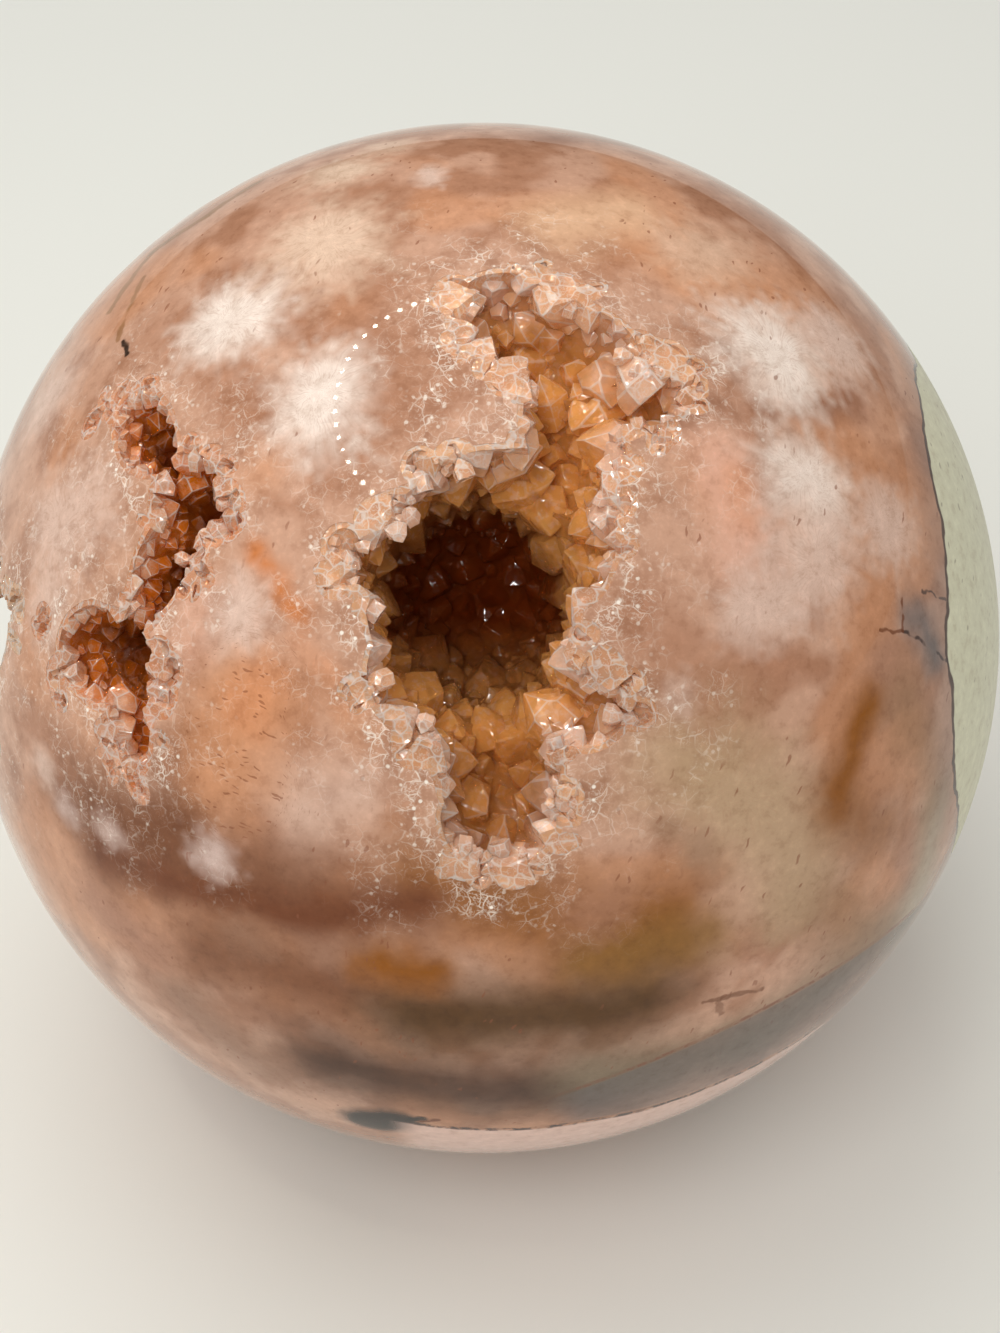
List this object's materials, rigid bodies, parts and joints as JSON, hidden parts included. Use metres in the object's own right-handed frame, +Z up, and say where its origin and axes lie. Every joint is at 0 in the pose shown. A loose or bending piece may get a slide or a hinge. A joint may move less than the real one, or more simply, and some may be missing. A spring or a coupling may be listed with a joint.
{
  "type": "flower agate sphere",
  "caption": "Polished ball of flower agate with open hollows lined with honey-coloured quartz crystals, resting on a small ground flat.",
  "frame": {"origin": "centre of the small flat at the foot, on the surface that the ball rests on", "axes": "+Z up, -Y towards the viewer, +X to the viewer's right; the show face with the large hollow looks forward and up"},
  "size_m": [0.0648, 0.065, 0.0648],
  "materials": {
    "agate": "polished stone",
    "quartz_druse": "clear to honey crystal faces"
  },
  "bodies": {
    "root": {"agate_sphere": "agate", "main_hollow_crystals": "quartz_druse", "left_hollow_crystals": "quartz_druse", "side_hollow_crystals": "quartz_druse"}
  },
  "joints": []
}
